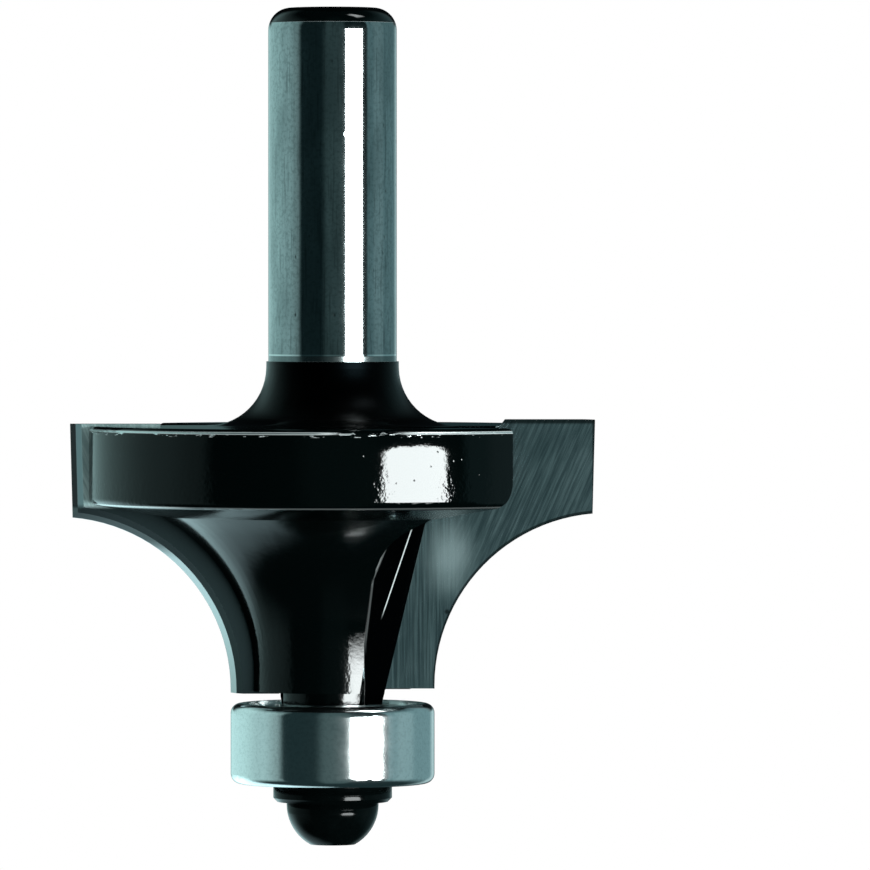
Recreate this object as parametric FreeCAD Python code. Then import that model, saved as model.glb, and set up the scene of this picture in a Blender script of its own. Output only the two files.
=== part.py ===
import FreeCAD, Part
import math
import os

Vector = FreeCAD.Vector
AXIS = Vector(0, 0, 1)
ORIGIN = Vector(0, 0, 0)

os.makedirs("parts", exist_ok=True)

# A two-wing round-over router bit with a guide bearing, in millimetres.
# +Z runs up the axis to the shank's free end.
# The origin is on the axis at the collet's mouth, a little above the coated neck.
# The first cutting edge points along +X and its rake face looks along -Y.

# Shank and neck
shank_diameter = 8.0
shank_length = 22.0
shank_end_rounding = 1.4
collet_gap = 2.0
neck_diameter = 8.25
neck_taper = 1.0
neck_length = 4.0
neck_fillet = 3.65

# Cutter head, a round body with the cutting tips standing proud of it
rim_diameter = 30.4
rim_height = 4.85
rim_top_rounding = 0.35
rim_bottom_rounding = 0.5
head_length = 16.5
flare_radius = 11.1
flare_start_diameter = 21.5
core_diameter = 10.2
core_straight = 1.2

# Carbide tips
wing_count = 2
tip_diameter = 32.7
tip_thickness = 1.6
tip_top_standout = 0.37
tip_end_recess = 0.11
tip_step = 0.25
land_taper = 1.5
cutting_arc_radius = 10.75
arc_end_straight = 0.19
land_thickness = 1.0
land_relief = 0.38
second_relief = 0.4
tip_top_inner_radius = 10.74
tip_knee_radius = 5.75
tip_knee_depth = 6.2
tip_foot_radius = 3.3

# Chip gullets
gullet_axis_offset = 1.67
gullet_lean = 6.84
gullet_floor_radius = 2.4
gullet_floor_depth = 5.66
gullet_wall_angle = 17.0
gullet_corner_radius = 0.5
gullet_runout_radius = 10.0
gullet_runout_margin = 0.15
rake_ledge = 1.1
rake_ledge_width = 0.65
seat_shoulder_width = 0.25
wing_corner_rounding = 1.5
wing_heel_rounding = 0.7
wing_rounding_end_diameter = 23.4
wing_rounding_left = 0.12

# Bearing seat below the head
boss_diameter = 6.5
boss_height = 0.8
spindle_clearance = 0.01
spindle_recess = 0.2
spindle_chamfer = 0.3

# Guide bearing
bearing_diameter = 12.7
bearing_bore = 4.762
bearing_width = 4.978
bearing_corner_rounding = 0.6
bore_chamfer = 0.2
ball_diameter = 2.381
ball_count = 7
pitch_diameter = 8.731
groove_conformity = 0.52
ball_play = 0.01
shoulder_height = 0.52

# Shields, snap rings and cage of the bearing
shield_thickness = 0.25
shield_seat_depth = 0.85
shield_seat_diameter = 10.7
shield_flange_width = 0.5
shield_dish = 0.3
shield_fit = 0.02
shield_gap = 0.1
ring_land_relief = 0.15
snap_ring_width = 0.5
snap_ring_thickness = 0.28
snap_groove_depth = 0.18
snap_ring_fit = 0.03
snap_ring_opening = 28.0
cage_thickness = 0.2
cage_ring_gap = 0.15
pocket_clearance = 0.05

# Retaining screw and its washer
thread_diameter = 3.0
thread_fit = 0.05
screw_length = 9.0
screw_tip_chamfer = 0.4
screw_hole_spare = 1.0
screw_head_diameter = 5.73
screw_head_edge = 0.17
screw_dome_height = 2.5
socket_across_flats = 2.0
socket_depth = 1.3
washer_diameter = 7.4
washer_thickness = 1.15
washer_hole_clearance = 0.1
washer_edge_chamfer = 0.25

# Room that cutting shapes run past the solids they cut
overrun = 1.0

# Levels along the axis, worked out from the lengths above
shank_end = shank_length - collet_gap
neck_top = -collet_gap
head_top = neck_top - neck_length
head_bottom = head_top - head_length
flare_centre_z = head_bottom + core_straight
bearing_top = head_bottom - boss_height
bearing_middle = bearing_top - bearing_width / 2
bearing_bottom = bearing_top - bearing_width
spindle_end = bearing_bottom + spindle_recess
washer_bottom = bearing_bottom - washer_thickness
rim_bottom = head_top - rim_height
tip_top = head_top + tip_top_standout
tip_bottom = head_bottom + tip_end_recess
knee_z = head_top - tip_knee_depth

# Radii worked out from the diameters above
rim_radius = rim_diameter / 2
core_radius = core_diameter / 2
bearing_radius = bearing_diameter / 2
spindle_radius = bearing_bore / 2 - spindle_clearance
ball_radius = ball_diameter / 2
pitch_radius = pitch_diameter / 2
far = tip_diameter / 2 + 2 * overrun
neck_foot_radius = neck_diameter / 2 + neck_length * math.tan(math.radians(neck_taper))
seat_foot_slope = (tip_knee_radius - tip_foot_radius) / (knee_z - tip_bottom)


def profile_edges(corners, place):
    """Closed loop of edges through corners (u, v, rounding) or (u, v, rounding, middle).

    A middle point (u, v) makes the stretch that arrives at its corner an arc through it.
    """
    count = len(corners)
    starts = []
    ends = []
    arcs = []
    for i in range(count):
        here = Vector(corners[i][0], corners[i][1], 0)
        rounding = corners[i][2]
        if rounding == 0:
            starts.append(here)
            ends.append(here)
            arcs.append(None)
            continue
        before = Vector(corners[i - 1][0], corners[i - 1][1], 0) - here
        after = Vector(corners[(i + 1) % count][0], corners[(i + 1) % count][1], 0) - here
        before.normalize()
        after.normalize()
        half_angle = before.getAngle(after) / 2
        setback = rounding / math.tan(half_angle)
        bisector = before + after
        bisector.normalize()
        nearest = rounding / math.sin(half_angle) - rounding
        starts.append(here + before * setback)
        ends.append(here + after * setback)
        arcs.append(here + bisector * nearest)
    edges = []
    for i in range(count):
        previous = ends[i - 1]
        if len(corners[i]) > 3:
            middle = Vector(corners[i][3][0], corners[i][3][1], 0)
            edges.append(Part.Arc(place(previous), place(middle), place(starts[i])).toShape())
        elif previous.distanceToPoint(starts[i]) > 1e-6:
            edges.append(Part.LineSegment(place(previous), place(starts[i])).toShape())
        if arcs[i] is not None:
            edges.append(Part.Arc(place(starts[i]), place(arcs[i]), place(ends[i])).toShape())
    return edges


def upright_wire(corners, y=0.0):
    """Wire in a plane along X and Z, at the given Y."""
    return Part.Wire(profile_edges(corners, lambda p: Vector(p.x, y, p.y)))


def plan_wire(corners, z):
    """Wire in a level plane, at the given Z."""
    return Part.Wire(profile_edges(corners, lambda p: Vector(p.x, p.y, z)))


def turned(corners):
    """Solid of revolution about the axis, from (radius, z, rounding) corners."""
    return Part.Face(upright_wire(corners)).revolve(ORIGIN, AXIS, 360)


def sleeve(inner, outer, low, high):
    """Plain ring about the axis."""
    return turned([(inner, low, 0), (outer, low, 0), (outer, high, 0), (inner, high, 0)])


def level_prism(corners, low, high):
    """Upright prism on a plan outline."""
    return Part.Face(plan_wire(corners, low)).extrude(Vector(0, 0, high - low))


def circle_point(centre, radius, degrees):
    """Point (u, v) on a circle."""
    angle = math.radians(degrees)
    return (centre[0] + radius * math.cos(angle), centre[1] + radius * math.sin(angle))


def about_axis(shape, degrees):
    """Copy turned about the bit's axis."""
    copy = shape.copy()
    copy.rotate(ORIGIN, AXIS, degrees)
    return copy


def mirrored_about(shape, z):
    """Copy mirrored in a level plane."""
    return shape.mirror(Vector(0, 0, z), AXIS)


# Concave flare between the rim's underside and the core
flare_centre = (core_radius + flare_radius, flare_centre_z)
flare_start_radius = flare_start_diameter / 2
flare_start_angle = math.degrees(math.acos((flare_start_radius - flare_centre[0]) / flare_radius))
flare_start = circle_point(flare_centre, flare_radius, flare_start_angle)
flare_middle = circle_point(flare_centre, flare_radius, (flare_start_angle + 180) / 2)


# Turned blank of the cutter body: shank, neck, rim, flare, core, boss and spindle
def body_blank():
    return turned([
        (0, shank_end, 0),
        (shank_diameter / 2, shank_end, shank_end_rounding),
        (shank_diameter / 2, neck_top, 0),
        (neck_diameter / 2, neck_top, 0),
        (neck_foot_radius, head_top, neck_fillet),
        (rim_radius, head_top, rim_top_rounding),
        (rim_radius, rim_bottom, rim_bottom_rounding),
        (flare_start[0], flare_start[1], 0),
        (core_radius, flare_centre_z, 0, flare_middle),
        (core_radius, head_bottom, 0),
        (boss_diameter / 2, head_bottom, 0),
        (boss_diameter / 2, bearing_top, 0),
        (spindle_radius, bearing_top, 0),
        (spindle_radius, spindle_end + spindle_chamfer, 0),
        (spindle_radius - spindle_chamfer, spindle_end, 0),
        (0, spindle_end, 0),
    ])


# Leaning floor of a gullet, whose wall under the wing stands upright
gullet_lean_slope = math.tan(math.radians(gullet_lean))
gullet_wall_slope = math.tan(math.radians(gullet_wall_angle))
wall_direction = circle_point((0, 0), 1, -gullet_wall_angle)


def gullet_floor_centre(z):
    shift = gullet_lean_slope * (z - head_bottom)
    return (gullet_axis_offset + gullet_floor_radius + shift,
            -gullet_floor_depth - gullet_wall_slope * shift)


def gullet_wall_start(z):
    return circle_point(gullet_floor_centre(z), gullet_floor_radius, 270 - gullet_wall_angle)


# Centre of the tight corner between the gullet's side and the ledge beside the seat
def gullet_corner_centre(z):
    inner = tip_foot_radius + seat_foot_slope * (z - tip_bottom)
    return (inner - seat_shoulder_width - rake_ledge_width, -rake_ledge - gullet_corner_radius)


# Plan at a level: the wall, the floor's arc, a straight side that touches both arcs, the ledge
def gullet_wire(z):
    floor = gullet_floor_centre(z)
    corner = gullet_corner_centre(z)
    start = gullet_wall_start(z)
    across = (corner[0] - floor[0], corner[1] - floor[1])
    bend = math.degrees(math.acos((gullet_floor_radius - gullet_corner_radius) / math.hypot(*across)))
    side = math.degrees(math.atan2(across[1], across[0])) + bend
    side_low = circle_point(floor, gullet_floor_radius, side)
    side_high = circle_point(corner, gullet_corner_radius, side)
    floor_middle = circle_point(floor, gullet_floor_radius, (side + 270 - gullet_wall_angle) / 2)
    corner_middle = circle_point(corner, gullet_corner_radius, (side + 90) / 2)
    return plan_wire([
        (start[0], start[1], 0, floor_middle),
        (far, start[1] - gullet_wall_slope * (far - start[0]), 0),
        (far, -rake_ledge, 0),
        (corner[0], -rake_ledge, 0),
        (side_high[0], side_high[1], 0, corner_middle),
        (side_low[0], side_low[1], 0),
    ], z)


# Milled channel in front of a rake face, which runs out in a curve below the neck
def gullet():
    channel = Part.makeLoft([gullet_wire(head_bottom - overrun), gullet_wire(head_top + overrun)],
                            True, True)
    corner = gullet_corner_centre(head_bottom)
    return channel.cut(runout_core(math.hypot(*corner) - gullet_corner_radius))


# Metal that the channel leaves around the axis, under the neck's fillet
def runout_core(deep_radius):
    top_radius = neck_foot_radius + neck_fillet + gullet_runout_margin
    centre_radius = deep_radius + gullet_runout_radius
    drop = math.sqrt(gullet_runout_radius ** 2 - (centre_radius - top_radius) ** 2)
    centre = (centre_radius, head_top - drop)
    top_angle = math.degrees(math.acos((top_radius - centre_radius) / gullet_runout_radius))
    middle = circle_point(centre, gullet_runout_radius, (top_angle + 180) / 2)
    return turned([
        (0, head_top + 2 * overrun, 0),
        (top_radius, head_top + 2 * overrun, 0),
        (top_radius, head_top, 0),
        (deep_radius, centre[1], 0, middle),
        (0, centre[1], 0),
    ])


def underside_point(start, direction, radius):
    """Point on the rim's underside at a radius, on the upright face through start."""
    along = start[0] * direction[0] + start[1] * direction[1]
    reach = math.sqrt(along ** 2 + radius ** 2 - start[0] ** 2 - start[1] ** 2) - along
    slope = (rim_bottom - flare_start[1]) / (rim_radius - flare_start_radius)
    return Vector(start[0] + reach * direction[0], start[1] + reach * direction[1],
                  rim_bottom - slope * (rim_radius - radius))


# Rounding of a wing's lower corner, which fades out along the underside towards the flare
def corner_rounding(start, direction, into, rounding):
    outer = underside_point(start, direction, rim_radius)
    inner = underside_point(start, direction, wing_rounding_end_diameter / 2)
    step = outer - inner
    up = step.cross(into)
    up.normalize()
    if up.z < 0:
        up = up * -1
    wires = []
    far_size = 2 * rounding - wing_rounding_left
    for corner, size in ((outer + step, far_size), (inner, wing_rounding_left)):
        margin = size / 2
        wires.append(Part.Wire(profile_edges([
            (size, -margin, 0),
            (size, 0, 0),
            (0, size, 0, (size - size / math.sqrt(2), size - size / math.sqrt(2))),
            (-margin, size, 0),
            (-margin, -margin, 0),
        ], lambda p: corner + into * p.x + up * p.y)))
    return Part.makeLoft(wires, True, True)


# Inner outline of a tip's seat, open past the rim, its shoulder moved in by a shift
def seat_wire(shift, y):
    top_slope = (tip_top_inner_radius - tip_knee_radius) / (tip_top - knee_z)
    low = tip_bottom - overrun
    high = tip_top + overrun + tip_step
    return upright_wire([
        (tip_foot_radius - overrun * seat_foot_slope - shift, low, 0),
        (tip_knee_radius - shift, knee_z, 0),
        (tip_top_inner_radius + (high - tip_top) * top_slope - shift, high, 0),
        (far, high, 0),
        (far, low, 0),
    ], y)


# Seat pocket behind the rake plane and the sloped shoulder milled in front of it
def seat_cut():
    inner = seat_wire(0, 0)
    pocket = Part.Face(inner).extrude(Vector(0, tip_thickness, 0))
    shoulder = Part.makeLoft([inner, seat_wire(seat_shoulder_width, -rake_ledge)], True, True)
    return pocket.fuse(shoulder)


# Tapped hole for the retaining screw, drawn at the thread's outer diameter
def screw_hole():
    engaged = screw_length - washer_thickness - spindle_recess
    return Part.makeCylinder(thread_diameter / 2, engaged + screw_hole_spare,
                             Vector(0, 0, spindle_end), AXIS)


# Tips and seats go round the axis, each a step lower than the one before it
def at_wing(shape, i):
    placed = about_axis(shape, 360 * i / wing_count)
    placed.translate(Vector(0, 0, -i * tip_step))
    return placed


def cutter_body():
    front = corner_rounding(gullet_wall_start(rim_bottom), wall_direction,
                            Vector(wall_direction[1], -wall_direction[0], 0), wing_corner_rounding)
    heel = corner_rounding((0, tip_thickness), (1, 0), Vector(0, 1, 0), wing_heel_rounding)
    solid = body_blank()
    for i in range(wing_count):
        for cut in (gullet(), front, heel):
            solid = solid.cut(about_axis(cut, 360 * i / wing_count))
        solid = solid.cut(at_wing(seat_cut(), i))
    return solid.cut(screw_hole())


# Outline of a tip in its rake plane; relief draws the ground edges in behind it
def tip_wire(relief, y):
    land_slope = math.tan(math.radians(land_taper))
    land_top_radius = tip_diameter / 2 - relief
    arc_centre_radius = bearing_radius + cutting_arc_radius
    arc_centre_z = tip_bottom + arc_end_straight
    radius = cutting_arc_radius + relief
    offset = land_top_radius - land_slope * (tip_top - arc_centre_z) - arc_centre_radius
    square = 1 + land_slope ** 2
    root = math.sqrt(radius ** 2 * square - offset ** 2)
    rise = (root - land_slope * offset) / square
    land_end = (arc_centre_radius + offset + land_slope * rise, arc_centre_z + rise)
    land_end_angle = math.degrees(math.atan2(rise, land_end[0] - arc_centre_radius))
    middle = circle_point((arc_centre_radius, arc_centre_z), radius, (land_end_angle + 180) / 2)
    return upright_wire([
        (tip_top_inner_radius, tip_top, 0),
        (land_top_radius, tip_top, 0),
        (land_end[0], land_end[1], 0),
        (arc_centre_radius - radius, arc_centre_z, 0, middle),
        (arc_centre_radius - radius, tip_bottom, 0),
        (tip_foot_radius, tip_bottom, 0),
        (tip_knee_radius, knee_z, 0),
    ], y)


# Brazed tip, with a ground land behind the cutting edge and a steeper second relief
def carbide_tip():
    edge = tip_wire(0, 0)
    land_back = tip_wire(land_relief, land_thickness)
    heel_back = tip_wire(land_relief + second_relief, tip_thickness)
    land = Part.makeLoft([edge, land_back], True, True)
    return land.fuse(Part.makeLoft([land_back, heel_back], True, True))


# Ring grooves follow a circle a little larger than the balls
groove_radius = groove_conformity * ball_diameter
outer_groove_bottom = pitch_radius + ball_radius + ball_play
inner_groove_bottom = pitch_radius - ball_radius - ball_play
outer_shoulder = outer_groove_bottom - shoulder_height
inner_shoulder = inner_groove_bottom + shoulder_height
groove_half_width = math.sqrt(groove_radius ** 2 - (groove_radius - shoulder_height) ** 2)
half_width = bearing_width / 2
shield_seat = half_width - shield_seat_depth
snap_ring_low = shield_seat + shield_thickness
shield_seat_radius = shield_seat_diameter / 2
ring_land_radius = inner_shoulder - ring_land_relief


def outer_ring():
    groove_top = snap_ring_low + snap_ring_thickness + snap_ring_fit
    deep = shield_seat_radius + snap_groove_depth
    middle = bearing_middle
    upper = [
        (outer_shoulder, middle + groove_half_width, 0, (outer_groove_bottom, middle)),
        (outer_shoulder, middle + shield_seat, 0),
        (shield_seat_radius, middle + shield_seat, 0),
        (shield_seat_radius, middle + snap_ring_low, 0),
        (deep, middle + snap_ring_low, 0),
        (deep, middle + groove_top, 0),
        (shield_seat_radius, middle + groove_top, 0),
        (shield_seat_radius, middle + half_width, 0),
    ]
    lower = [(r, 2 * middle - z, 0) for r, z in reversed([corner[:2] for corner in upper])]
    return turned(upper + [
        (bearing_radius, bearing_top, bearing_corner_rounding),
        (bearing_radius, bearing_bottom, bearing_corner_rounding),
    ] + lower)


def inner_ring():
    bore_radius = bearing_bore / 2
    middle = bearing_middle
    upper = [
        (inner_shoulder, middle + groove_half_width, 0, (inner_groove_bottom, middle)),
        (inner_shoulder, middle + shield_seat - shield_gap, 0),
        (ring_land_radius, middle + shield_seat - shield_gap, 0),
        (ring_land_radius, middle + half_width, 0),
        (bore_radius + bore_chamfer, middle + half_width, 0),
        (bore_radius, middle + half_width - bore_chamfer, 0),
    ]
    lower = [(r, 2 * middle - z, 0) for r, z in reversed([corner[:2] for corner in upper])]
    return turned(upper + lower)


def ball_centre(i):
    x, y = circle_point((0, 0), pitch_radius, 360 * i / ball_count)
    return Vector(x, y, bearing_middle)


# Pressed shield: a flange held in the outer ring and a dished web over the balls
def shield():
    seat = bearing_middle + shield_seat
    flange_radius = shield_seat_radius - shield_fit
    web_radius = flange_radius - shield_flange_width
    lip_radius = ring_land_radius + shield_gap
    bend = shield_dish
    return turned([
        (lip_radius, seat + bend, 0),
        (web_radius - bend, seat + bend, 0),
        (web_radius, seat, 0),
        (flange_radius, seat, 0),
        (flange_radius, seat + shield_thickness, 0),
        (web_radius, seat + shield_thickness, 0),
        (web_radius - bend, seat + bend + shield_thickness, 0),
        (lip_radius, seat + bend + shield_thickness, 0),
    ])


# Open spring ring that keeps a shield in its seat
def snap_ring():
    low = bearing_middle + snap_ring_low
    outer = shield_seat_radius + snap_groove_depth - snap_ring_fit
    inner = outer - snap_ring_width
    face = Part.Face(upright_wire([
        (inner, low, 0),
        (outer, low, 0),
        (outer, low + snap_ring_thickness, 0),
        (inner, low + snap_ring_thickness, 0),
    ]))
    return face.revolve(ORIGIN, AXIS, 360 - snap_ring_opening)


# One pressed half of the cage: a flat strip arched over each ball
def cage_half():
    inner = inner_shoulder + cage_ring_gap
    outer = outer_shoulder - cage_ring_gap
    pocket_radius = ball_radius + pocket_clearance
    arch_radius = pocket_radius + cage_thickness
    centre = Vector(0, 0, bearing_middle)
    half = sleeve(inner, outer, bearing_middle, bearing_middle + cage_thickness)
    room = sleeve(inner, outer, bearing_middle, bearing_middle + arch_radius + overrun)
    for i in range(ball_count):
        arch = Part.makeCylinder(arch_radius, outer + overrun, centre, ball_centre(i) - centre)
        half = half.fuse(arch.common(room))
    for i in range(ball_count):
        pocket = Part.makeCylinder(pocket_radius, outer + overrun, centre, ball_centre(i) - centre)
        half = half.cut(pocket)
    return half.removeSplitter()


def screw_washer():
    hole_radius = thread_diameter / 2 + washer_hole_clearance
    rim = washer_diameter / 2
    return turned([
        (hole_radius, bearing_bottom, 0),
        (rim, bearing_bottom, 0),
        (rim, washer_bottom + washer_edge_chamfer, 0),
        (rim - washer_edge_chamfer, washer_bottom, 0),
        (hole_radius, washer_bottom, 0),
    ])


# Half-round screw with a hexagon socket, its thread drawn as a plain shank
def retaining_screw():
    head_radius = screw_head_diameter / 2
    thread_radius = thread_diameter / 2 - thread_fit
    screw_end = washer_bottom + screw_length
    flat_radius = math.sqrt(head_radius ** 2 - screw_dome_height ** 2)
    flat_angle = math.degrees(math.asin(screw_dome_height / head_radius))
    dome_centre = (0, washer_bottom - screw_head_edge)
    head_end = dome_centre[1] - screw_dome_height
    dome_middle = circle_point(dome_centre, head_radius, -flat_angle / 2)
    solid = turned([
        (0, screw_end, 0),
        (thread_radius - screw_tip_chamfer, screw_end, 0),
        (thread_radius, screw_end - screw_tip_chamfer, 0),
        (thread_radius, washer_bottom, 0),
        (head_radius, washer_bottom, 0),
        (head_radius, dome_centre[1], 0),
        (flat_radius, head_end, 0, dome_middle),
        (0, head_end, 0),
    ])
    corner_radius = socket_across_flats / math.sqrt(3)
    corners = [circle_point((0, 0), corner_radius, 60 * i) + (0,) for i in range(6)]
    return solid.cut(level_prism(corners, head_end - overrun, head_end + socket_depth))


def save(name, shape):
    """Write one solid as a node."""
    solid = shape if shape.ShapeType == "Solid" else shape.Solids[0]
    print(name, "solids", len(shape.Solids), "valid", solid.isValid(), "volume", round(solid.Volume, 3))
    solid.exportStep("parts/" + name + ".step")


save("cutter_body", cutter_body())
for i in range(wing_count):
    save("carbide_tip_" + str(i + 1), at_wing(carbide_tip(), i))

save("bearing_outer_ring", outer_ring())
save("bearing_inner_ring", inner_ring())
for i in range(ball_count):
    save("ball_" + str(i + 1), Part.makeSphere(ball_radius, ball_centre(i)))
save("cage_upper", cage_half())
save("cage_lower", mirrored_about(cage_half(), bearing_middle))
save("shield_upper", shield())
save("shield_lower", mirrored_about(shield(), bearing_middle))
save("snap_ring_upper", snap_ring())
save("snap_ring_lower", mirrored_about(snap_ring(), bearing_middle))

save("screw_washer", screw_washer())
save("retaining_screw", retaining_screw())
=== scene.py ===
import math
from collections import namedtuple

import bpy
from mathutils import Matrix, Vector


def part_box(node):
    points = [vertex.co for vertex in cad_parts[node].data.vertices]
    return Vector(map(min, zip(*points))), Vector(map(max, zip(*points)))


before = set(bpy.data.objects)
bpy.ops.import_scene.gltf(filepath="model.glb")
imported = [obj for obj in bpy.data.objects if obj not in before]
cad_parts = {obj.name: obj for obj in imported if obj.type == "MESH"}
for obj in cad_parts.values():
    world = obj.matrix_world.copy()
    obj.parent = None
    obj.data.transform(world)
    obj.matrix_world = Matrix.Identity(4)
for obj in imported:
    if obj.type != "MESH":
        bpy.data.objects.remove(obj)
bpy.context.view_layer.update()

MM = 0.001
MICRON = 1e-6
SCENE = bpy.context.scene

# Zones of the cutter body, in millimetres in the part's frame
SHANK_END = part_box("cutter_body")[1].z / MM
CAP_HEIGHT = 0.95
NECK_TOP = -2.0
HEAD_TOP = -6.0
RIM_RADIUS = 15.2
RIM_BOTTOM = -10.85
FLARE_END = -18.0
CORE_START = -19.5
RIM_LINE_GAP_MIDDLE = 2.4

# The ledge beside each rake face, and the lip where each gullet starts
LEDGE_DEPTH = 1.12
LEDGE_SIDES = (2.0, 14.0)
LEDGE_SLOPE = 0.339
LEDGE_CREST = 9.146
LIP_SIDE = 2.0
LIP_BENDS = ((-19.4, 0.12), (-15.4, 0.30))
GULLET_DEPTH = 6.0

# Carbide tips: two reliefs behind the cutting edge, and the outline of the rake face
TIP_LAND = 1.0
TIP_BACK = 1.6
TIP_SHOULDER = -11.0
TIP_SIDE = 16.18
ARC_CENTRE = (17.1, 0.0, -22.1)
ARC_RADIUS = 10.75
INNER_SLOPE = 0.2503
INNER_EDGE = 8.74
NICK_PLACE = (7.13, 0.0, -17.6)

# Painted reflection on the rake face, a lighter patch, in coordinates that are scaled along each axis
REFLECTION_PATCH_SCALES = (1.0, 0.0, 0.60)
REFLECTION_PATCH_CENTRE = (7.3, 0.0, -8.5)

# Upper ends of the washer and of the screw's dome
WASHER_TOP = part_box("screw_washer")[1].z / MM
DOME_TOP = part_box("screw_washer")[0].z / MM

# Base colours
COAT = (0.0001, 0.0004, 0.0004)
# Dull black for the matte neck, also used as painted shade in the crevices
MATTE_AND_SHADED_COAT = (0.0003, 0.0005, 0.0006)
# Light metal for the lines along the rim's edges, also used for painted highlights on the ledge crests
# and a painted reflection on the gullet lips
LIGHT_LINE_AND_HIGHLIGHT = (0.60, 0.64, 0.64)
SHANK_DARK = (0.27, 0.31, 0.315)
SHANK_LIGHT = (0.45, 0.49, 0.495)
SHANK_SHADE = (0.14, 0.17, 0.175)
SHANK_STREAK = (0.10, 0.12, 0.125)
SHANK_GRAIN = (0.14, 0.17, 0.17)
SHANK_PIT = (0.05, 0.06, 0.06)
SHANK_FOOT = (0.12, 0.14, 0.14)
SHANK_LINE = (0.62, 0.66, 0.66)
RAKE_DARK = (0.15, 0.22, 0.235)
RAKE_LIGHT = (0.38, 0.49, 0.505)
# Painted reflection: the lighter patch on the rake face
RAKE_PAINTED_REFLECTION = (0.72, 0.86, 0.87)
# Painted highlight along the rake face's inner edge
RAKE_INNER_HIGHLIGHT = (0.75, 0.85, 0.85)
RAKE_OUTLINE = (0.03, 0.04, 0.04)
RAKE_SHADOW = (0.02, 0.03, 0.03)
RELIEF = (0.010, 0.016, 0.017)
RELIEF_BRIGHT = (0.48, 0.49, 0.49)
UPPER_LAND = (0.020, 0.042, 0.045)
UPPER_HEEL = (0.20, 0.24, 0.25)
# Painted sheen on the tip's upper back, in a dark and a light tone
TIP_BACK_SHEEN_DARK = (0.075, 0.130, 0.130)
TIP_BACK_SHEEN_LIGHT = (0.150, 0.225, 0.220)
RING_DARK = (0.66, 0.69, 0.69)
RING_LIGHT = (0.78, 0.80, 0.80)
RING_GRAIN = (0.30, 0.34, 0.34)
OXIDE_DARK = (0.0001, 0.0003, 0.0003)
OXIDE_LIGHT = (0.0004, 0.0008, 0.0008)
FLOOR_PAINT = (0.86, 0.88, 0.88)

# Camera: a long lens almost level with the head, in millimetres
CAMERA_PLACE = Vector((6.38, -570.0, 3.8)) * MM
CAMERA_TARGET = Vector((6.38, 0.0, -6.59)) * MM
CAMERA_LENS = 378.8
SENSOR_WIDTH = 36.0

# Floor, well below the bit, in metres
FLOOR_DEPTH = 0.30
FLOOR_RADIUS = 0.55
FLOOR_SIDES = 96

# Strip light: its middle and half its size, in degrees, and its radiance
STRIP_AZIMUTH = 40.0
STRIP_HALF_WIDTH = 15.8
STRIP_ELEVATION = -9.0
STRIP_HALF_HEIGHT = 17.0
STRIP_RADIANCE = (58.0, 62.0, 62.0)

# Light from everywhere, the dark band and the patch behind the bit, and what dull surfaces get
SURROUND_RADIANCE = (0.014, 0.032, 0.035)
DARK_RADIANCE = (0.004, 0.006, 0.007)
PATCH_RADIANCE = (1.0, 1.45, 1.55)
SOFT_RADIANCE = (0.95, 1.0, 1.0)

# A panel spans two azimuths from the camera's side, and two elevations, each with a soft edge
Panel = namedtuple("Panel", "left right soft bottom top fade radiance")
PANELS = (
    Panel(-168, -61, 10, -30, 40, 30, (0.27, 0.40, 0.40)),
    Panel(-170, -75, 22, -30, 40, 30, (0.15, 0.25, 0.25)),
    Panel(-176, -105, 30, -30, 40, 30, (0.12, 0.20, 0.19)),
    Panel(-14, 22, 14, -60, 60, 30, (0.05, 0.08, 0.08)),
    Panel(66, 168, 6, -30, 40, 30, (0.17, 0.30, 0.32)),
    Panel(80, 105, 8, -30, 30, 20, (0.08, 0.10, 0.10)),
    Panel(150, 168, 14, -30, 40, 30, (0.30, 0.36, 0.36)),
    Panel(66, 90, 10, 54, 70, 8, (14.0, 15.0, 15.0)),
)

Spot = namedtuple("Spot", "place x y z side depth radius")


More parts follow.
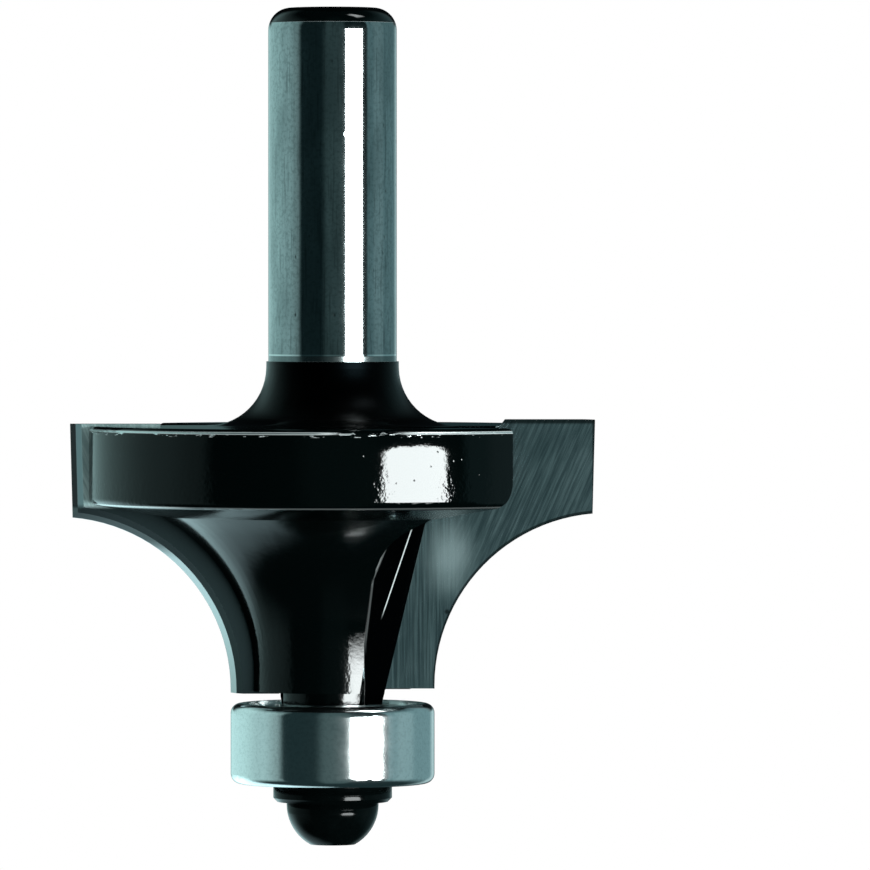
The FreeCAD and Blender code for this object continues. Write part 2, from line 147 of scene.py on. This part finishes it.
class Graph:
    """A node tree, with short calls that add a node and return its output."""

    def __init__(self, tree):
        tree.nodes.clear()
        self.tree = tree

    def node(self, kind, inputs=(), **settings):
        made = self.tree.nodes.new(kind)
        for name, value in settings.items():
            setattr(made, name, value)
        for name, value in dict(inputs).items():
            self.feed(made.inputs[name], value)
        return made

    def feed(self, socket, value):
        if isinstance(value, bpy.types.NodeSocket):
            self.tree.links.new(value, socket)
        else:
            socket.default_value = value

    def math(self, operation, *values):
        made = self.node("ShaderNodeMath", operation=operation)
        for socket, value in zip(made.inputs, values):
            self.feed(socket, value)
        return made.outputs[0]

    def chain(self, operation, first, *others):
        for other in others:
            first = self.math(operation, first, other)
        return first

    def times(self, *values):
        return self.chain("MULTIPLY", *values)

    def plus(self, *values):
        return self.chain("ADD", *values)

    def most(self, *values):
        return self.chain("MAXIMUM", *values)

    def minus(self, first, second):
        return self.math("SUBTRACT", first, second)

    def unsigned(self, value):
        return self.math("ABSOLUTE", value)

    def below(self, value, limit):
        """1 where a value is below a limit, and 0 elsewhere."""
        return self.math("LESS_THAN", value, limit)

    def vector(self, operation, first, second=None, scale=None):
        made = self.node("ShaderNodeVectorMath", operation=operation)
        self.feed(made.inputs[0], first)
        if second is not None:
            self.feed(made.inputs[1], second)
        if scale is not None:
            self.feed(made.inputs["Scale"], scale)
        return made.outputs["Value" if operation in ("LENGTH", "DISTANCE") else "Vector"]

    def joined(self, coordinates):
        """A vector of the coordinates that are given by their index, 0 in the others."""
        return self.node("ShaderNodeCombineXYZ", coordinates).outputs[0]

    def step(self, value, low, high, to_low=0.0, to_high=1.0):
        """Smooth step from to_low, below low, to to_high, above high."""
        made = self.node("ShaderNodeMapRange", interpolation_type="SMOOTHSTEP", clamp=True)
        for socket, given in zip(made.inputs, (value, low, high, to_low, to_high)):
            self.feed(socket, given)
        return made.outputs["Result"]

    def window(self, value, low, high, soft):
        """1 between low and high, 0 outside, with soft edges."""
        rise = self.step(value, low - soft / 2, low + soft / 2)
        fall = self.step(value, high - soft / 2, high + soft / 2, 1.0, 0.0)
        return self.times(rise, fall)

    def blend(self, factor, first, second):
        """Mix of two numbers."""
        made = self.node("ShaderNodeMix", data_type="FLOAT")
        for name, value in ((0, factor), (2, first), (3, second)):
            self.feed(made.inputs[name], value)
        return made.outputs[0]

    def tint(self, factor, first, second, how="MIX"):
        """Mix of two colours."""
        made = self.node("ShaderNodeMix", data_type="RGBA", blend_type=how)
        for name, value in ((0, factor), (6, colour(first)), (7, colour(second))):
            self.feed(made.inputs[name], value)
        return made.outputs[2]

    def noise(self, place, scale, detail=2.0, rough=0.5):
        made = self.node("ShaderNodeTexNoise", {"Vector": place, "Scale": scale, "Detail": detail,
                                                "Roughness": rough})
        return made.outputs["Fac"]

    def dots(self, place, scale, radius, share):
        """Scattered round dots, 1 at their middle; only a share of the cells has one."""
        made = self.node("ShaderNodeTexVoronoi", {"Vector": place, "Scale": scale})
        dot = self.step(made.outputs["Distance"], 0.0, radius, 1.0, 0.0)
        chance = self.node("ShaderNodeSeparateColor", {"Color": made.outputs["Color"]}).outputs[0]
        return self.times(dot, self.below(chance, share))

    def stretched(self, place, scales, turn=(0, 0, 0)):
        """Coordinates turned, in degrees, and then scaled along each axis."""
        turned = self.node("ShaderNodeVectorRotate", {"Vector": place}, rotation_type="EULER_XYZ")
        turned.inputs["Rotation"].default_value = [math.radians(angle) for angle in turn]
        return self.vector("MULTIPLY", turned.outputs["Vector"], scales)

    def bump(self, height, depth):
        """Bump whose height runs from 0 to depth, in metres."""
        return self.node("ShaderNodeBump", {"Height": height, "Distance": depth}).outputs["Normal"]

    def spot(self, place):
        """A place's coordinates, x and y also without their signs, and its distance from the axis."""
        x, y, z = self.node("ShaderNodeSeparateXYZ", {"Vector": place}).outputs
        level = self.vector("MULTIPLY", place, (1, 1, 0))
        radius = self.vector("LENGTH", level)
        return Spot(place, x, y, z, self.unsigned(x), self.unsigned(y), radius)


def colour(value):
    """A colour with its alpha, or a socket as it is."""
    if isinstance(value, bpy.types.NodeSocket) or len(value) == 4:
        return value
    return (*value, 1.0)


def material(name):
    """New material with an empty graph, its shader, and its place in millimetres."""
    made = bpy.data.materials.new(name)
    made.use_nodes = True
    graph = Graph(made.node_tree)
    shader = graph.node("ShaderNodeBsdfPrincipled")
    output = graph.node("ShaderNodeOutputMaterial")
    graph.feed(output.inputs["Surface"], shader.outputs["BSDF"])
    place = graph.node("ShaderNodeTexCoord").outputs["Object"]
    return made, graph, shader, graph.vector("SCALE", place, scale=1 / MM)


def past_lip(graph, at):
    """Distance sideways past the lip of a gullet, which leans outward in two bends."""
    lip = LIP_SIDE
    for height, slope in LIP_BENDS:
        rise = graph.most(graph.plus(at.z, -height), 0.0)
        lip = graph.plus(lip, graph.times(rise, slope))
    return graph.minus(at.side, lip)


def gullet_zone(graph, at, beyond):
    """The walls of both gullets."""
    return graph.times(graph.step(beyond, -0.05, 0.05),
                       graph.below(graph.times(at.x, at.y), 0.0),
                       graph.below(at.radius, RIM_RADIUS - 0.3),
                       graph.step(at.depth, GULLET_DEPTH, GULLET_DEPTH + 0.4, 1.0, 0.0))


def crevice_zone(graph, at, gullet):
    """The gullets and the ledges beside the rake faces, below the head's top, which get painted shade.
    """
    ledge = graph.times(graph.below(at.depth, LEDGE_DEPTH), graph.window(at.side, *LEDGE_SIDES, 0.1))
    return graph.times(graph.most(ledge, gullet), graph.below(at.z, HEAD_TOP - 0.1))


def rim_edge_lines(graph, at):
    """Light metal lines and patches along the rim's upper edge, and a line along its lower edge."""
    noise = graph.noise(graph.stretched(at.place, (1.1, 1.1, 5.0)), 1.0, 3.0, 0.7)
    gap = graph.step(graph.unsigned(graph.minus(at.x, RIM_LINE_GAP_MIDDLE)), 1.6, 3.4)
    upper = graph.times(graph.window(at.z, HEAD_TOP - 0.30, HEAD_TOP - 0.18, 0.06), gap)
    patches = graph.times(graph.window(at.z, HEAD_TOP - 0.46, HEAD_TOP - 0.18, 0.08),
                          graph.step(noise, 0.58, 0.64))
    lower = graph.times(graph.window(at.z, RIM_BOTTOM - 0.02, RIM_BOTTOM + 0.07, 0.05),
                        graph.step(at.x, -12.0, -8.0, 0.7, 0.04))
    on_rim = graph.math("GREATER_THAN", at.radius, RIM_RADIUS - 0.3)
    return graph.times(graph.most(upper, patches, lower), on_rim)


def painted_crest_highlights(graph, at, beyond, gullet, crevice):
    """A painted highlight along the crest of each ledge, and a faint painted reflection along each
    gullet's lip.
    """
    slant = graph.minus(at.side, graph.times(at.z, LEDGE_SLOPE))
    # Painted highlight: a bright line along the ledge's crest
    crest_highlight = graph.times(graph.window(slant, LEDGE_CREST - 0.035, LEDGE_CREST + 0.035, 0.03),
                        graph.window(at.z, -17.6, -12.4, 1.0), crevice)
    # Painted reflection: a faint line along the gullet's lip
    lip_reflection = graph.times(graph.window(beyond, 0.03, 0.13, 0.08), gullet,
                           graph.window(at.z, -19.5, -13.0, 1.5), 0.12)
    return graph.most(crest_highlight, lip_reflection)


def shank_colour(graph, at, streaks, pits, foot):
    """Ground steel: streaks along the shank, cloudy shade, grain, pits and a line at its foot."""
    dark_streaks = graph.noise(graph.stretched(at.place, (6.0, 6.0, 0.30)), 1.0, 3.0, 0.6)
    shade = graph.noise(graph.stretched(at.place, (0.5, 0.5, 0.16)), 1.0, 2.0, 0.5)
    grain = graph.noise(at.place, 4.5, 2.0, 0.6)
    line = graph.window(at.z, NECK_TOP + 0.36, NECK_TOP + 0.44, 0.06)
    steel = graph.tint(streaks, SHANK_DARK, SHANK_LIGHT)
    layers = (
        (graph.step(shade, 0.35, 0.65, 0.45, 0.0), SHANK_SHADE),
        (graph.step(dark_streaks, 0.54, 0.66, 0.0, 0.5), SHANK_STREAK),
        (graph.step(grain, 0.42, 0.70, 0.0, 0.45), SHANK_GRAIN),
        (graph.times(pits, 0.75), SHANK_PIT),
        (graph.times(foot, 0.7), SHANK_FOOT),
        (line, SHANK_LINE),
    )
    for amount, paint in layers:
        steel = graph.tint(amount, steel, paint)
    return steel


def coat_normal(graph, at, rim_face, core):
    """The coat is a little uneven, grainy low on the rim and core, and thins out at the rim's top."""
    waves = graph.noise(at.place, 0.8, 2.0, 0.5)
    peel = graph.noise(at.place, 3.6, 2.0, 0.5)
    specks = graph.dots(at.place, 2.0, 0.16, 0.30)
    low_rim = graph.times(graph.step(at.z, RIM_BOTTOM + 2.6, RIM_BOTTOM + 1.2), rim_face)
    grainy = graph.most(low_rim, core)
    shoulder = graph.times(graph.step(at.z, HEAD_TOP - 1.5, HEAD_TOP + 0.7), rim_face)
    height = graph.plus(graph.times(waves, 5.0),
                        graph.times(peel, graph.blend(grainy, 4.0, 13.0)),
                        graph.times(specks, rim_face, 11.0),
                        graph.times(shoulder, -180.0))
    return graph.bump(height, MICRON)


def coated_steel():
    """Black coat on the head, a dull neck, and a ground shank with a coated end."""
    made, graph, shader, place = material("coated_steel")
    at = graph.spot(place)
    shank = graph.window(at.z, NECK_TOP, SHANK_END - CAP_HEIGHT, 0.03)
    rim_face = graph.math("GREATER_THAN", at.radius, RIM_RADIUS - 0.5)
    core = graph.step(at.z, FLARE_END, CORE_START)
    flare = graph.window(at.z, FLARE_END, RIM_BOTTOM - 0.3, 0.8)
    beyond = past_lip(graph, at)
    gullet = gullet_zone(graph, at, beyond)
    crevice = crevice_zone(graph, at, gullet)
    # Light metal lines along the rim's edges, painted highlights along the ledge crests and a painted
    # reflection along the gullet lips
    lines_and_highlights = graph.most(rim_edge_lines(graph, at), painted_crest_highlights(graph, at, beyond, gullet, crevice))

    # Dull black: the neck and its fillet, which have a matte coat, and the crevices, whose dark
    # non-reflecting black is painted shade
    neck = graph.times(graph.step(at.z, HEAD_TOP + 0.05, HEAD_TOP + 0.6), graph.below(at.z, NECK_TOP))
    matte_and_shaded = graph.most(neck, crevice)

    streaks = graph.noise(graph.stretched(place, (5.0, 5.0, 0.12)), 1.0, 4.0, 0.6)
    pits = graph.dots(graph.stretched(place, (1.0, 1.0, 0.6)), 1.3, 0.17, 0.30)
    foot = graph.window(at.z, NECK_TOP, NECK_TOP + 0.33, 0.05)
    steel = shank_colour(graph, at, streaks, pits, foot)
    base = graph.tint(matte_and_shaded, graph.tint(shank, COAT, steel), MATTE_AND_SHADED_COAT)
    graph.feed(shader.inputs["Base Color"], graph.tint(lines_and_highlights, base, LIGHT_LINE_AND_HIGHLIGHT))
    graph.feed(shader.inputs["Metallic"], graph.most(shank, matte_and_shaded, lines_and_highlights))

    blotch = graph.noise(place, 0.7, 3.0, 0.6)
    steel_rough = graph.plus(0.045, graph.times(blotch, 0.04), graph.times(foot, 0.12))
    coat_rough = graph.blend(flare, graph.blend(core, 0.05, 0.12), 0.15)
    rough = graph.blend(matte_and_shaded, graph.blend(shank, coat_rough, steel_rough), 0.35)
    graph.feed(shader.inputs["Roughness"], graph.blend(lines_and_highlights, rough, 0.35))
    shader.inputs["IOR"].default_value = 1.28

    # In a crevice the surface is shaded as if it faced straight out of the opening
    turning = graph.noise(graph.stretched(place, (1.2, 1.2, 14.0)), 1.0, 3.0, 0.6)
    steel_normal = graph.bump(graph.plus(turning, graph.times(pits, -24.0), streaks), 0.6 * MICRON)
    normal = graph.tint(shank, coat_normal(graph, at, rim_face, core), steel_normal)
    opening = graph.joined({1: graph.times(graph.math("SIGN", at.x), -1.0)})
    graph.feed(shader.inputs["Normal"], graph.tint(crevice, normal, opening))
    return made


def rake_colour(graph, at, both, lines, light_patch):
    """Rake face: wheel marks, a painted reflection as a lighter patch, dark ground edges, painted
    shade along its top edge, a painted highlight along its inner edge and a nick.
    """
    nick = graph.step(graph.vector("DISTANCE", both, NICK_PLACE), 0.06, 0.22, 1.0, 0.0)
    top_edge = graph.step(at.z, HEAD_TOP + 0.02, HEAD_TOP + 0.22)
    from_arc = graph.vector("DISTANCE", graph.stretched(both, (1.0, 0.0, 1.0)), ARC_CENTRE)
    outline = graph.most(graph.window(from_arc, ARC_RADIUS - 0.25, ARC_RADIUS + 0.09, 0.05),
                         graph.step(at.side, TIP_SIDE - 0.04, TIP_SIDE + 0.04))
    inner = graph.minus(at.side, graph.times(at.z, INNER_SLOPE))
    # Painted highlight along the braze line at the inner edge
    inner_highlight = graph.times(graph.window(inner, INNER_EDGE, INNER_EDGE + 0.11, 0.07),
                             graph.window(at.z, -20.0, -13.5, 2.0))
    face = graph.tint(lines, RAKE_DARK, RAKE_LIGHT)
    layers = (
        # A painted reflection as the lighter patch, painted shade at the top edge and in the nick, and
        # a painted highlight along the inner edge
        (graph.times(light_patch, 0.75), RAKE_PAINTED_REFLECTION),
        (graph.times(top_edge, 0.85), RAKE_SHADOW),
        (graph.times(outline, 0.8), RAKE_OUTLINE),
        (graph.times(nick, 0.8), RAKE_SHADOW),
        (graph.times(inner_highlight, 0.6), RAKE_INNER_HIGHLIGHT),
    )
    for amount, paint in layers:
        face = graph.tint(amount, face, paint)
    return face


def carbide():
    """Ground carbide: a rake face with wheel marks, dark reliefs, and a matte upper back with a
    painted sheen.
    """
    made, graph, shader, place = material("carbide")
    at = graph.spot(place)
    both = graph.joined({0: at.side, 1: at.depth, 2: at.z})
    slanted = graph.noise(graph.stretched(both, (5.0, 1.0, 0.22), (0, -24, 0)), 1.0, 4.0, 0.65)
    upright = graph.noise(graph.stretched(both, (6.0, 1.0, 0.18)), 1.0, 4.0, 0.6)
    marks = graph.blend(graph.step(at.side, 6.5, 9.5), upright, slanted)
    lines = graph.step(marks, 0.36, 0.70)
    # Painted reflection: a lighter patch on the rake face
    away = graph.vector("DISTANCE", graph.stretched(both, REFLECTION_PATCH_SCALES), REFLECTION_PATCH_CENTRE)
    light_patch = graph.step(away, 0.2, 2.2, 1.0, 0.0)

    # Behind the cutting edge: a land and a heel, and above the shoulder also the tip's back
    rake = graph.step(at.depth, 0.02, 0.05, 1.0, 0.0)
    land = graph.step(at.depth, TIP_LAND - 0.03, TIP_LAND + 0.03, 1.0, 0.0)
    upper = graph.step(at.z, TIP_SHOULDER - 0.2, TIP_SHOULDER + 0.2)
    upper_land = graph.times(land, upper, graph.minus(1.0, rake))
    upper_heel = graph.times(graph.minus(1.0, land), upper)
    # The tip's upper back gets a light matte tone with its grinding marks, a painted sheen
    upper_back_sheen = graph.times(graph.step(at.depth, TIP_BACK - 0.03, TIP_BACK - 0.01), upper)
    bright_land = graph.times(land, graph.step(at.z, -13.0, -14.5))
    reliefs = graph.tint(upper_land, RELIEF, UPPER_LAND)
    reliefs = graph.tint(upper_heel, reliefs, UPPER_HEEL)
    reliefs = graph.tint(bright_land, reliefs, RELIEF_BRIGHT)
    reliefs = graph.tint(upper_back_sheen, reliefs, graph.tint(lines, TIP_BACK_SHEEN_DARK, TIP_BACK_SHEEN_LIGHT))

    face = rake_colour(graph, at, both, lines, light_patch)
    graph.feed(shader.inputs["Base Color"], graph.tint(rake, reliefs, face))
    graph.feed(shader.inputs["Metallic"], graph.minus(1.0, graph.most(upper_land, upper_back_sheen)))
    cloud = graph.noise(both, 0.35, 3.0, 0.55)
    rough = graph.plus(0.14, graph.times(cloud, 0.06), graph.times(light_patch, 0.05))
    graph.feed(shader.inputs["Roughness"], graph.blend(rake, 0.48, rough))

    # The upper land is shaded as if it faced along the tip's back
    backward = graph.joined({1: graph.math("SIGN", at.x)})
    normal = graph.tint(upper_land, graph.bump(marks, 2.5 * MICRON), backward)
    graph.feed(shader.inputs["Normal"], normal)
    return made


def ring_steel():
    """Ground bearing ring, with fine lines round it."""
    made, graph, shader, place = material("bearing_steel")
    lines = graph.noise(graph.stretched(place, (0.6, 0.6, 45.0)), 1.0, 2.0, 0.6)
    soft = graph.noise(place, 0.8, 2.0, 0.5)
    grain = graph.noise(place, 5.0, 2.0, 0.6)
    steel = graph.tint(lines, RING_DARK, RING_LIGHT)
    steel = graph.tint(graph.step(grain, 0.42, 0.72, 0.0, 0.22), steel, RING_GRAIN)
    graph.feed(shader.inputs["Base Color"], steel)
    shader.inputs["Metallic"].default_value = 1.0
    graph.feed(shader.inputs["Roughness"], graph.plus(0.09, graph.times(soft, 0.06)))
    height = graph.plus(graph.times(lines, 0.3), graph.times(grain, 1.2))
    graph.feed(shader.inputs["Normal"], graph.bump(height, MICRON))
    return made


def plain_steel(name, dark, light, rough, line_scale=(2.0, 2.0, 20.0)):
    """Pressed, drawn or polished steel with faint lines."""
    made, graph, shader, place = material(name)
    lines = graph.noise(graph.stretched(place, line_scale), 1.0, 3.0, 0.6)
    graph.feed(shader.inputs["Base Color"], graph.tint(lines, dark, light))
    shader.inputs["Metallic"].default_value = 1.0
    graph.feed(shader.inputs["Roughness"], graph.plus(rough, graph.times(lines, 0.1)))
    graph.feed(shader.inputs["Normal"], graph.bump(lines, 0.5 * MICRON))
    return made


def blackened_steel():
    """Black oxide on the screw and washer, with an oily gloss that is shaded near their upper ends."""
    made, graph, shader, place = material("blackened_steel")
    grain = graph.noise(place, 3.0, 3.0, 0.6)
    graph.feed(shader.inputs["Base Color"], graph.tint(grain, OXIDE_DARK, OXIDE_LIGHT))
    graph.feed(shader.inputs["Roughness"], graph.plus(0.09, graph.times(grain, 0.06)))
    shader.inputs["IOR"].default_value = 1.15
    z = graph.node("ShaderNodeSeparateXYZ", {"Vector": place}).outputs["Z"]
    slopes = [graph.step(z, top - 0.75, top + 0.20) for top in (WASHER_TOP, DOME_TOP)]
    height = graph.plus(graph.times(graph.plus(*slopes), -260.0), graph.times(grain, 2.0))
    graph.feed(shader.inputs["Normal"], graph.bump(height, MICRON))
    return made


def pale_floor():
    made, _, shader, _ = material("floor_paint")
    shader.inputs["Base Color"].default_value = colour(FLOOR_PAINT)
    shader.inputs["Roughness"].default_value = 0.8
    return made


def paint_nodes():
    """Give each CAD node its material, by the start of its name."""
    ring = ring_steel()
    oxide = blackened_steel()
    looks = {
        "cutter_body": coated_steel(),
        "carbide_tip": carbide(),
        "bearing": ring,
        "screw_washer": oxide,
        "retaining_screw": oxide,
        "shield": plain_steel("shield_steel", (0.42, 0.44, 0.44), (0.60, 0.62, 0.62), 0.24),
        "cage": plain_steel("cage_steel", (0.45, 0.46, 0.44), (0.60, 0.60, 0.58), 0.28),
        "snap_ring": plain_steel("spring_steel", (0.34, 0.35, 0.36), (0.52, 0.54, 0.55), 0.22,
                                 (20.0, 20.0, 2.0)),
        "ball": plain_steel("ball_steel", (0.74, 0.76, 0.76), (0.82, 0.84, 0.84), 0.04,
                            (2.0, 2.0, 2.0)),
    }
    for name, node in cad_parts.items():
        look = next(looks[start] for start in looks if name.startswith(start))
        for slot in node.material_slots:
            slot.material = look


def strip_light(graph, azimuth, elevation):
    """A tall rectangle with rounded corners, which fades out towards its lower end."""
    across = graph.math("DIVIDE", graph.minus(azimuth, STRIP_AZIMUTH), STRIP_HALF_WIDTH)
    upward = graph.math("DIVIDE", graph.minus(elevation, STRIP_ELEVATION), STRIP_HALF_HEIGHT)
    shape = graph.plus(*[graph.math("POWER", graph.unsigned(part), 4.0) for part in (across, upward)])
    return graph.times(graph.step(shape, 0.8, 1.15, 1.0, 0.0),
                       graph.step(elevation, -26.0, -4.0, 0.08, 1.0))


def studio():
    """Surroundings painted by direction: a tall soft strip, side panels and a white background."""
    world = bpy.data.worlds.new("studio")
    SCENE.world = world
    world.use_nodes = True
    graph = Graph(world.node_tree)
    direction = graph.node("ShaderNodeTexCoord").outputs["Generated"]
    x, y, z = graph.node("ShaderNodeSeparateXYZ", {"Vector": direction}).outputs
    azimuth = graph.math("DEGREES", graph.math("ARCTAN2", x, graph.times(y, -1.0)))
    elevation = graph.math("DEGREES", graph.math("ARCSINE", z))
    total = SURROUND_RADIANCE
    for panel in PANELS:
        level = graph.times(graph.window(azimuth, panel.left, panel.right, panel.soft),
                            graph.window(elevation, panel.bottom, panel.top, panel.fade))
        total = graph.tint(level, total, panel.radiance, "ADD")

    # Behind the bit it is dark above the horizon, with a bright patch below it
    behind = graph.step(graph.unsigned(azimuth), 140, 160)
    dark = graph.times(behind, graph.window(elevation, 5, 80, 6))
    total = graph.tint(dark, total, DARK_RADIANCE)
    light_patch = graph.times(graph.window(azimuth, -176, -122, 28), graph.window(elevation, -64, -12, 24))
    total = graph.tint(light_patch, total, PATCH_RADIANCE, "ADD")
    total = graph.tint(strip_light(graph, azimuth, elevation), total, STRIP_RADIANCE, "ADD")

    # Dull surfaces also get a soft light from all round, and the background is white
    path = graph.node("ShaderNodeLightPath").outputs
    total = graph.tint(path["Is Diffuse Ray"], total, SOFT_RADIANCE, "ADD")
    lights = graph.node("ShaderNodeBackground", {"Color": total}).outputs[0]
    white = graph.node("ShaderNodeBackground", {"Color": (1, 1, 1, 1)}).outputs[0]
    both = graph.node("ShaderNodeMixShader", {0: path["Is Camera Ray"], 1: lights, 2: white})
    output = graph.node("ShaderNodeOutputWorld")
    graph.feed(output.inputs["Surface"], both.outputs[0])


def make_floor():
    """Plain pale floor, which the glossy steel doesn't mirror."""
    bpy.ops.mesh.primitive_circle_add(vertices=FLOOR_SIDES, radius=FLOOR_RADIUS, fill_type="NGON",
                                      location=(0, 0, -FLOOR_DEPTH))
    floor = bpy.context.object
    floor.name = "floor"
    floor.data.materials.append(pale_floor())
    floor.visible_glossy = False


def make_camera():
    data = bpy.data.cameras.new("camera")
    data.lens = CAMERA_LENS
    data.sensor_width = SENSOR_WIDTH
    data.clip_start = 0.01
    data.clip_end = 10.0
    camera = bpy.data.objects.new("camera", data)
    SCENE.collection.objects.link(camera)
    camera.location = CAMERA_PLACE
    camera.rotation_euler = (CAMERA_TARGET - CAMERA_PLACE).to_track_quat("-Z", "Y").to_euler()
    SCENE.camera = camera


make_camera()
make_floor()
studio()
paint_nodes()
SCENE.view_settings.view_transform = "Standard"
SCENE.view_settings.look = "None"
